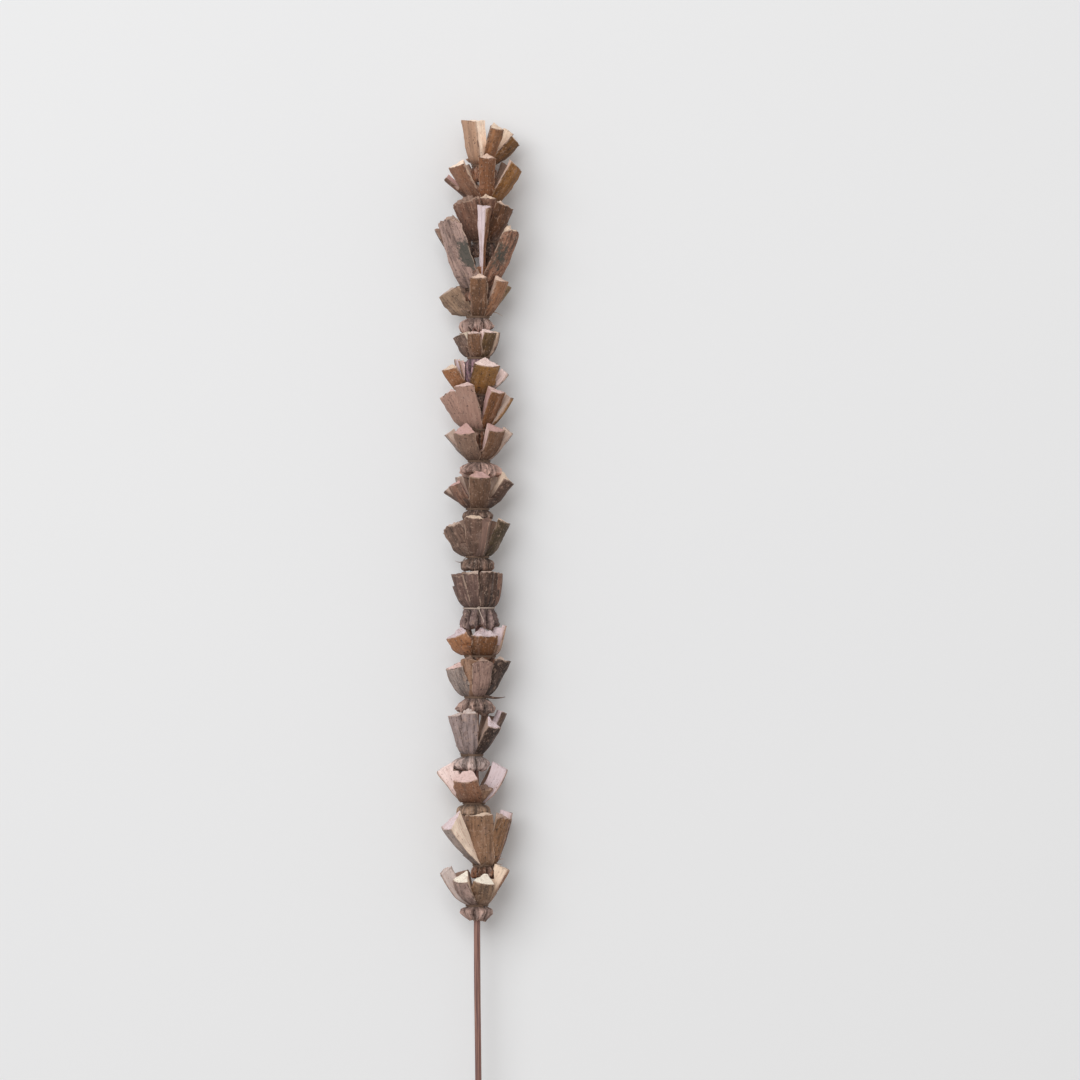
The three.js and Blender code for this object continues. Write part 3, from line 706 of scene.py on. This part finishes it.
def make_core(cup, petals, waist, seed):
    """The knob under the tie, the tied waist and the bowl that the petals split from."""
    radius, height, form, lobes, knob_bark = cup["knob"]
    torn = cup.get("torn", 1.0)
    piece = round_blank(CORE_ROUND, CORE_RINGS - 1)
    inset_ends(piece, CORE_INSETS)
    unit = corners(piece)
    turn = np.arctan2(unit[:, 1], unit[:, 0])
    share = unit[:, 2]
    inner = np.hypot(unit[:, 0], unit[:, 1])
    bottom = -NECK - height
    bowl_top = cup.get("bowl", BOWL_TOP)
    level = bottom + (bowl_top - bottom) * share
    down = np.clip((-level - NECK) / height, 0, 1)
    full = along_line(KNOBS[form], down)
    azimuths = [math.radians(entry[0][0]) for entry in petals]
    apart = np.array([np.abs(np.angle(np.exp(1j * (turn - a)))) for a in azimuths])
    near = np.sort(apart, axis=0)
    from_crease = (near[1] - near[0]) / 2
    crease = np.exp(-((from_crease / 0.12) ** 2))
    lobe = 1 - lobes * (0.75 * crease + 0.35 * np.clip(1 - from_crease / 0.45, 0, 1) ** 2)

    shares = np.exp(-((apart / 0.3) ** 2))
    shares /= shares.sum(axis=0)
    chance = np.random.default_rng(seed)
    fullness = shares.T @ (1 + 0.12 * torn * chance.uniform(-1, 1, len(petals)))
    drop = shares.T @ (0.5 * torn * chance.uniform(-1, 1, len(petals)))
    tint = shares.T @ chance.uniform(0.75, 1.2, len(petals))
    bowl = np.zeros(len(turn))
    for part, entry in zip(shares, petals):
        shoulder = entry[3].get("shoulder", cup.get("shoulder", SHOULDER))
        bowl += part * path_out(entry[0], waist, shoulder, level)
    bowl -= BOWL_INSET + 0.9 * crease

    round_out = waist - 0.15 + (radius * fullness - waist + 0.15) * full
    round_out *= 1 + (lobe - 1) * np.minimum(1, down * 4)
    grain = np.stack([turn * radius, (1 - inner) * radius, level], axis=1)
    around = np.stack([np.cos(turn) * radius, np.sin(turn) * radius, level], axis=1)
    fibres = rough_field(around * (0.8, 0.8, 0.1), seed + 3)
    lumps = rough_field(around * (0.25, 0.25, 0.2), seed + 7)
    crumples = rough_field(around * (0.6, 0.6, 0.4), seed + 11)
    strands = 0.5 - np.abs(rough_field(around * (0.9, 0.9, 0.1), seed + 13)) * 2.2
    below = np.minimum(1, down * 5)
    uneven = 0.3 * fibres + 0.55 * lumps + 0.5 * crumples + 0.45 * strands
    round_out += below * torn * uneven * np.minimum(1, inner * 2)
    split = np.clip(level / bowl_top, 0, 1) ** 2 * inner
    above = np.clip((level - NECK) / 0.8, 0, 1)
    round_out = round_out * (1 - above) + (bowl + 0.3 * fibres) * above
    hem = np.clip((down - 0.5) / 0.5, 0, 1) * np.minimum(1, inner * 1.5)
    tufts = rough_field(around * (0.45, 0.45, 0), seed)
    tufts += 0.9 * rough_field(around * (1.2, 1.2, 0), seed + 2)
    frayed = hem * (drop + 0.9 * torn * tufts)
    frayed -= split * bowl_top * (0.22 * crease + 0.05 * np.abs(tufts))
    out = inner * round_out
    places = np.stack([out * np.cos(turn), level + frayed, out * np.sin(turn)], axis=1)
    places[:, 1] += np.where(share < 0.001, 0.6 * (1 - inner), 0)
    move_corners(piece, places)
    face_out(piece)

    vertex, _ = face_corners(piece)
    knob_tone = linear(BARKS[knob_bark])
    cup_tone = shares.T @ np.array([linear(BARKS[entry[1]]) for entry in petals])
    shade = tint * (1 - 0.6 * crease) * (1 - 0.45 * np.exp(-np.maximum(0, -level - NECK) / 1.5))
    shade *= 1.14 + 0.45 * np.clip(strands + crumples, -1, 0.6)
    cup_shade = 1 - 0.5 * np.exp(-np.maximum(0, level) / 3.5) - 0.35 * crease
    upper = (level > 0)[:, None]
    bark = np.where(upper, cup_tone * cup_shade[:, None], knob_tone * shade[:, None])
    part_of = np.where(level > 0, 0.0, -1.0)
    wear = np.stack([level * 0 + NO_EDGE, level * 0, part_of], axis=1)
    shifted = grain[vertex] + (seed * 13.3, 0, seed * 3.7)
    note_tones(piece, shifted, wear[vertex], bark[vertex], linear(PITHS["shaded"]))
    return piece


def make_fibre(root, end, thick, bark, seed):
    """A loose fibre that tapers from the knob to its tip, with a slight wander."""
    bpy.ops.object.select_all(action="DESELECT")
    bpy.ops.mesh.primitive_cone_add(vertices=7, radius1=1, radius2=0.12, depth=1, location=(0, 0, 0.5))
    piece = bpy.context.object
    bpy.ops.object.transform_apply(location=True, rotation=True, scale=True)
    cut_lengthwise(piece, 2, 9, aim=0.4)
    unit = corners(piece)
    start, run = np.array(root), np.array(end) - np.array(root)
    along = unit[:, 2]
    side = np.cross(run, (0, 0, 1.0))
    side /= np.linalg.norm(side)
    up = np.cross(side, run / np.linalg.norm(run))
    wander = 0.9 * np.sin(along * 3.6 + seed) * along
    places = start + along[:, None] * run + (unit[:, 0] * thick / 2 + wander)[:, None] * side
    places += (unit[:, 1] * thick / 2 + 0.4 * np.sin(along * 5 + seed))[:, None] * up
    move_corners(piece, places)
    face_out(piece)
    vertex, _ = face_corners(piece)
    grain = np.stack([unit[:, 0], unit[:, 1] * 0, along * 12], axis=1)[vertex]
    note_tones(piece, grain, (NO_EDGE, 0, -1), linear(BARKS[bark]), linear(PITHS["dusty"]))
    return piece


def turned(profile, at):
    """A plain turned solid on the cup's axis, from (radius, height) pairs, for cutting away."""
    piece = round_blank(ROOM_SIDES, len(profile) - 2)
    unit = corners(piece)
    ring = np.rint(unit[:, 2] * (len(profile) - 1)).astype(int)
    radius, level = np.array(profile, float)[ring].T
    places = np.stack([unit[:, 0] * radius + at[0], level + at[1], unit[:, 1] * radius], axis=1)
    move_corners(piece, places)
    face_out(piece)
    note_inside(piece)
    return piece


def knob_room(above, at):
    """The room that the next cup up takes in this one: its knob, its waist and its tie."""
    radius, height = above["knob"][:2]
    waist = above.get("waist", WAIST)
    wide, tied = radius * KNOB_ROOM + GAP, waist + TIE_ROOM
    low = -NECK - height - GAP
    return turned([(wide, low), (wide, -NECK - 0.3 * height), (tied, -0.7), (tied, ROOM_TOP)], at)


# The stick


def stick_line(steps):
    """Points down the stick's middle line, as a smooth curve through its route."""
    side, down = np.array(STICK_ROUTE, float).T
    at = np.linspace(down[0], down[-1], steps)
    return along_line(np.stack([down, side], axis=1), at), at


def stick_skin(radius, steps, roughness):
    """A round twig along the stick's route, with its place in the stem's own millimetres."""
    piece = round_blank(STICK_SIDES, steps - 2)
    unit = corners(piece)
    ring = np.rint(unit[:, 2] * (steps - 1)).astype(int)
    side, down = stick_line(steps)
    turn = np.arctan2(unit[:, 1], unit[:, 0])
    inner = np.hypot(unit[:, 0], unit[:, 1])
    around = np.stack([np.cos(turn) * 2, np.sin(turn) * 2, down[ring] * 0.02], axis=1)
    wide = radius * (1 + roughness * rough_field(around, 5)) * inner
    places = np.stack([side[ring] + wide * np.cos(turn), -down[ring], wide * np.sin(turn)], axis=1)
    move_corners(piece, places)
    face_out(piece)
    grain = np.stack([turn * radius, (1 - inner) * radius, down[ring]], axis=1)
    return piece, grain


# Shader sums written as Python


class Signal:
    """A socket's value. Sums on it add Math nodes."""

    def __init__(self, wiring, socket):
        self.wiring = wiring
        self.socket = socket

    def sum(self, operation, other):
        return self.wiring.node("ShaderNodeMath", {"operation": operation}, {0: self, 1: other})

    def __add__(self, other):
        return self.sum("ADD", other)

    def __mul__(self, other):
        return self.sum("MULTIPLY", other)

    def __sub__(self, other):
        return self.sum("SUBTRACT", other)

    def __rsub__(self, other):
        return self.wiring.node("ShaderNodeMath", {"operation": "SUBTRACT"}, {0: other, 1: self})

    __radd__ = __add__
    __rmul__ = __mul__


class Wiring:
    """A material that is being wired."""

    def __init__(self, name):
        self.material = bpy.data.materials.new(name)
        self.material.use_nodes = True
        self.tree = self.material.node_tree
        self.skin = self.tree.nodes["Principled BSDF"]

    def node(self, kind, settings=None, inputs=None, out=0):
        made = self.tree.nodes.new(kind)
        for name, value in (settings or {}).items():
            setattr(made, name, value)
        for name, value in (inputs or {}).items():
            self.feed(made.inputs[name], value)
        return Signal(self, made.outputs[out])

    def feed(self, socket, value):
        if isinstance(value, Signal):
            self.tree.links.new(value.socket, socket)
        else:
            socket.default_value = value

    def read(self, name, out="Vector"):
        return self.node("ShaderNodeAttribute", {"attribute_name": name}, out=out)

    def parts(self, vector):
        split = self.node("ShaderNodeSeparateXYZ", inputs={0: vector}).socket.node
        return [Signal(self, split.outputs[i]) for i in range(3)]

    def stretched(self, vector, scale):
        return self.node("ShaderNodeVectorMath", {"operation": "MULTIPLY"}, {0: vector, 1: scale})

    def noise(self, vector, scale, detail=3.0, roughness=0.55):
        inputs = {"Vector": self.stretched(vector, scale), "Scale": 1.0}
        inputs |= {"Detail": detail, "Roughness": roughness}
        return self.node("ShaderNodeTexNoise", inputs=inputs)

    def step(self, value, low, high):
        """0 below low, 1 above high, and smooth between."""
        inputs = {"Value": value, "From Min": low, "From Max": high}
        return self.node("ShaderNodeMapRange", {"interpolation_type": "SMOOTHSTEP"}, inputs)

    def blend(self, share, first, second, how="MIX"):
        settings = {"data_type": "RGBA", "blend_type": how}
        made = self.node("ShaderNodeMix", settings, {"Factor": share})
        node = made.socket.node
        for socket, value in zip([s for s in node.inputs if s.type == "RGBA"], (first, second)):
            self.feed(socket, value)
        return Signal(self, next(s for s in node.outputs if s.type == "RGBA"))

    def shade(self, colour, amount):
        """A colour made lighter or darker by a number."""
        grey = self.node("ShaderNodeCombineXYZ", inputs={0: amount, 1: amount, 2: amount})
        return self.node("ShaderNodeVectorMath", {"operation": "MULTIPLY"}, {0: colour, 1: grey})

    def finish(self, colour, roughness, height, distance):
        self.feed(self.skin.inputs["Base Color"], colour)
        self.feed(self.skin.inputs["Roughness"], roughness)
        inputs = {"Height": height, "Strength": 1.0, "Distance": distance}
        self.feed(self.skin.inputs["Normal"], self.node("ShaderNodeBump", inputs=inputs))
        return self.material


def tone(*rgb):
    return (*[float(c) for c in linear(rgb)], 1.0)


def sola_material(name, mottling):
    """Thin bark over pith. The grain's second number is the depth under the bark, in millimetres."""
    w = Wiring(name)
    grain = w.read("grain")
    depth = w.parts(grain)[1]
    edge, cut, moss = w.parts(w.read("wear"))
    streaks = w.noise(grain, (0.85, 0.85, 0.06), 5.0, 0.65)
    mottle = w.noise(grain, (0.22, 0.22, 0.1), 3.0)
    blotch = w.noise(grain, (0.45, 0.45, 0.28), 4.0, 0.6)
    specks = w.noise(grain, (0.95, 0.95, 0.7), 2.0)
    cracks = w.noise(grain, (1.2, 1.2, 0.08), 2.0)
    pores = w.noise(grain, (1.7, 1.7, 0.8), 2.0)
    fibre = w.noise(grain, (1.5, 1.5, 0.06), 4.0, 0.6)
    stain = w.noise(grain, (0.3, 0.3, 0.12), 3.0)
    knob = w.step(moss * -1.0, 0.4, 0.6)
    shreds = w.noise(grain, (0.7, 0.7, 0.35), 4.0, 0.7)

    bands = w.noise(grain, (0.5, 0.5, 0.035), 2.0)
    bold = w.read("bark", "Alpha")
    swing = (streaks - 0.5) * 1.2 + (bands - 0.5) * 1.4 + (mottle - 0.5) * (mottling + 0.6)
    light = bold * swing + 0.8
    bark = w.shade(w.read("bark", "Color"), light)
    bark = w.blend(w.step(mottle, 0.5, 0.68) * 0.22, bark, tone(158, 138, 130))
    bark = w.blend(w.step(blotch, 0.54, 0.66) * bold * 0.45, bark, tone(92, 66, 54))
    bark = w.blend((1.0 - w.step(blotch, 0.34, 0.45)) * bold * 0.4, bark, tone(196, 162, 142))
    bark = w.blend(w.step(cracks, 0.6, 0.68) * bold * 0.5, bark, tone(58, 40, 34))
    bark = w.blend(w.step(specks, 0.6, 0.67) * 0.8, bark, tone(46, 32, 28))
    bark = w.blend(w.step(pores, 0.6, 0.68) * 0.45, bark, tone(206, 180, 160))
    lichen = w.noise(grain, (0.6, 0.6, 0.4), 5.0, 0.7)
    patch = w.step((lichen - 0.5) * 2.4 + moss * 0.85, 0.42, 0.85) * w.step(moss, 0.04, 0.25)
    bark = w.blend(patch * 0.85, bark, tone(62, 68, 62))
    near_edge = 1.0 - w.step(edge + (streaks - 0.5) * 1.2, 0.1, 0.6)
    bark = w.blend(near_edge * w.step(blotch, 0.46, 0.52) * 0.5, bark, tone(206, 178, 158))
    bark = w.blend(near_edge * (1.0 - w.step(blotch, 0.42, 0.48)) * 0.6, bark, tone(66, 48, 42))
    bark = w.blend(w.step(shreds, 0.54, 0.64) * knob * 0.4, bark, tone(204, 180, 168))
    bark = w.blend((1.0 - w.step(shreds, 0.36, 0.46)) * knob * 0.5, bark, tone(60, 42, 38))

    pith = w.shade(w.read("pith", "Color"), 0.74 + fibre * 0.68)
    pith = w.blend(w.step(stain, 0.5, 0.72) * 0.4, pith, tone(190, 152, 132))
    pith = w.blend(w.step(fibre, 0.58, 0.72) * (1.0 - cut) * 0.35, pith, tone(160, 120, 102))
    pith = w.blend(w.step(specks, 0.62, 0.7) * 0.5, pith, tone(120, 84, 72))
    under_bark = (1.0 - w.step(depth + (fibre - 0.5) * 0.6, 0.5, 1.1)) * 0.45
    pith = w.blend(under_bark, pith, tone(150, 110, 92))
    end_grain = w.noise(grain, (1.6, 1.6, 1.6), 3.0)
    pith = w.blend(w.step(end_grain, 0.52, 0.72) * cut * 0.4, pith, tone(184, 152, 140))

    bare = w.step(depth + (fibre - 0.5) * 0.3, 0.25, 0.5)
    colour = w.blend(bare, bark, pith)
    height = streaks * 0.9 + fibre * 0.6 + pores * 0.3 - w.step(cracks, 0.58, 0.7) * 0.4
    roughness = 0.72 + bare * 0.16 + (mottle - 0.5) * 0.15
    return w.finish(colour, roughness, height, 0.00035)


def thread_material(name, pale):
    w = Wiring(name)
    place = w.node("ShaderNodeTexCoord", out="Object")
    fuzz = w.noise(place, (900.0, 900.0, 900.0), 3.0)
    dust = w.noise(place, (250.0, 250.0, 250.0), 2.0)
    colour = w.blend(dust, tone(*[c * 0.72 for c in pale]), tone(*pale))
    return w.finish(colour, 0.8 + fuzz * 0.15, fuzz, 0.0001)


def stick_material(name):
    w = Wiring(name)
    grain = w.read("grain")
    streaks = w.noise(grain, (1.6, 1.0, 0.035), 4.0, 0.6)
    mottle = w.noise(grain, (0.5, 0.5, 0.05), 3.0)
    colour = w.blend(w.step(streaks, 0.35, 0.65), tone(92, 60, 58), tone(164, 124, 110))
    colour = w.blend(w.step(mottle, 0.5, 0.7) * 0.5, colour, tone(120, 92, 96))
    return w.finish(colour, 0.6 + streaks * 0.2, streaks, 0.0002)


# Putting the stem together


def settle(piece, name, place, material, nodes):
    """Puts a finished piece in the frame, in metres, and hides the CAD nodes it stands for."""
    drop_specks(piece)
    piece.name = name
    piece.data.name = name
    piece.data.transform(Matrix.Translation(place) @ Matrix.Scale(MM, 4))
    piece.data.materials.clear()
    piece.data.materials.append(material)
    only(piece)
    bpy.ops.object.shade_smooth_by_angle(angle=SMOOTH_UNDER)
    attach(piece, BODY)
    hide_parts(*nodes)


def middle(node):
    low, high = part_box(node)
    return (low + high) / 2


def make_tie(waist, seed, turns, azimuth, tails):
    """Turns of thread with a small knot at an azimuth and its loose tails, as curves made solid."""
    out = waist + 0.1
    start = math.radians(azimuth)
    winding = []
    for i in range(turns * THREAD_STEPS + 1):
        angle = 2 * math.pi * i / THREAD_STEPS + start
        climb = (i / (turns * THREAD_STEPS) - 0.5) * 0.3 * turns
        winding.append((out * math.cos(angle), climb, out * math.sin(angle)))
    away = np.array([math.cos(start), 0, math.sin(start)])
    across = np.array([-away[2], 0, away[0]])
    knot = away * (out + KNOT_OUT)
    lines = [winding]
    for lean in (-1, 1):
        loop = np.linspace(0, 2.6 * math.pi, LOOP_STEPS)[:, None]
        ring = np.cos(loop) * across * 0.42 + np.sin(loop) * np.array([0.4 * lean, 0.42, 0])
        ring += loop * away * 0.03
        lines.append(knot + ring)
    for i, (aside, climb, lift) in enumerate(tails):
        run = np.linspace(0, 1, TAIL_STEPS)[:, None]
        wander = 0.35 * np.sin(run * 5 + seed + 2 * i) * run
        tail = run * (across * aside + away * lift) + (run * climb + wander) * np.array([0, 1, 0])
        lines.append(knot + tail + wander * across)
    thread = bpy.data.curves.new("thread", "CURVE")
    thread.dimensions = "3D"
    thread.bevel_depth = THREAD_THICKNESS / 2
    thread.bevel_resolution = 1
    thread.use_fill_caps = True
    for line in lines:
        spline = thread.splines.new("POLY")
        spline.points.add(len(line) - 1)
        for point, place in zip(spline.points, line):
            point.co = (*place, 1)
    only(placed("thread", thread))
    bpy.ops.object.convert(target="MESH")
    made = bpy.context.object
    with editing(made):
        bpy.ops.mesh.remove_doubles(threshold=WELD)
    return made


BODY = next(iter(frame["bodies"]))
FIRST = middle("tie_01")
SIDE_ZERO = FIRST.x / MM - FIRST_TIE[0]
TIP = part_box("stick")[0].y / MM + STEM_LENGTH
AXIS_HEIGHT = FIRST.z


def make_stem():
    blank = petal_blank()
    finishes = {name: sola_material(name, mottling) for name, mottling in MOTTLING.items()}
    cotton = thread_material("thread_dusty_shaded", DUSTY_SHADED_THREAD)
    pale_cotton = thread_material("thread_pale", PALE_THREAD)
    for i, cup in enumerate(CUPS):
        number = f"{i + 1:02d}"
        place = middle("tie_" + number)
        waist = cup.get("waist", WAIST)
        petals = [*cup["petals"], *under_petals(cup, waist)]
        body = make_core(cup, petals, waist, i + 1)
        shoulder = cup.get("shoulder", SHOULDER)
        for j, entry in enumerate(petals):
            merge(body, make_petal(blank, entry, waist, shoulder, 7 * i + j + 1), "UNION")
        for j, fibre in enumerate(cup.get("fibres", ())):
            merge(body, make_fibre(*fibre, i + j), "UNION")
        bore, _ = stick_skin(STICK_RADIUS + GAP, BORE_STEPS, 0)
        side = place.x / MM - SIDE_ZERO
        down = TIP - place.y / MM
        bore.data.transform(Matrix.Translation((-side, down, 0)))
        note_inside(bore)
        merge(body, bore, "DIFFERENCE")
        if i:
            upper = (middle(f"tie_{i:02d}") - place) / MM
            merge(body, knob_room(CUPS[i - 1], (upper.x, upper.y)), "DIFFERENCE")
        settle(body, "sola_cup_" + number, place, finishes[cup["slot"]], ["cup_" + number])
        turns, azimuth, tails = KNOTS.get(i + 1, (3, HIDDEN_KNOT + KNOT_STEP * i, HIDDEN_TAILS))
        tie = make_tie(waist, i * 1.3, turns, azimuth, tails)
        thread = pale_cotton if i + 1 == PALE_TIE else cotton
        settle(tie, "thread_tie_" + number, place, thread, ["tie_" + number])
    stick, grain = stick_skin(STICK_RADIUS, STICK_STEPS, 0.05)
    vertex, _ = face_corners(stick)
    note(stick, "grain", "FLOAT_VECTOR", grain[vertex])
    start = Vector((SIDE_ZERO * MM, TIP * MM, AXIS_HEIGHT))
    settle(stick, "stick_twig", start, stick_material("stick_bark"), ["stick"])
    bpy.data.objects.remove(blank)


def make_studio():
    """A pale floor, soft light from the upper left of the photo, and the camera straight above."""
    bpy.ops.object.select_all(action="DESELECT")
    bpy.ops.mesh.primitive_plane_add(size=6, location=(0, 0, -0.0002))
    floor = bpy.context.object
    floor.name = "floor"
    w = Wiring("floor_paper")
    place = w.node("ShaderNodeTexCoord", out="Object")
    cloud = w.noise(place, (3.0, 3.0, 3.0), 2.0)
    colour = w.blend(cloud, tone(235, 237, 240), tone(237, 239, 241))
    floor.data.materials.append(w.finish(colour, 0.9, cloud, 0.00001))

    side, down = VIEW_MIDDLE
    centre = Vector(((SIDE_ZERO + side) * MM, (TIP - down) * MM, AXIS_HEIGHT))
    for name, (offset, size, power) in LIGHTS.items():
        lamp = bpy.data.lights.new(name, "AREA")
        lamp.size = size
        lamp.energy = power
        made = placed(name, lamp, centre + Vector(offset))
        made.rotation_euler = (-Vector(offset)).to_track_quat("-Z", "Y").to_euler()

    sky = bpy.data.worlds.new("studio")
    sky.use_nodes = True
    glow = sky.node_tree.nodes["Background"].inputs
    glow["Color"].default_value = SKY_TONE
    glow["Strength"].default_value = SKY_STRENGTH
    bpy.context.scene.world = sky

    lens = bpy.data.cameras.new("camera")
    lens.lens = LENS
    lens.sensor_width = 36
    lens.clip_end = 20
    bpy.context.scene.camera = placed("camera", lens, centre + Vector((0, 0, CAMERA_HEIGHT)))
    bpy.context.scene.view_settings.view_transform = "Standard"


make_stem()
make_studio()
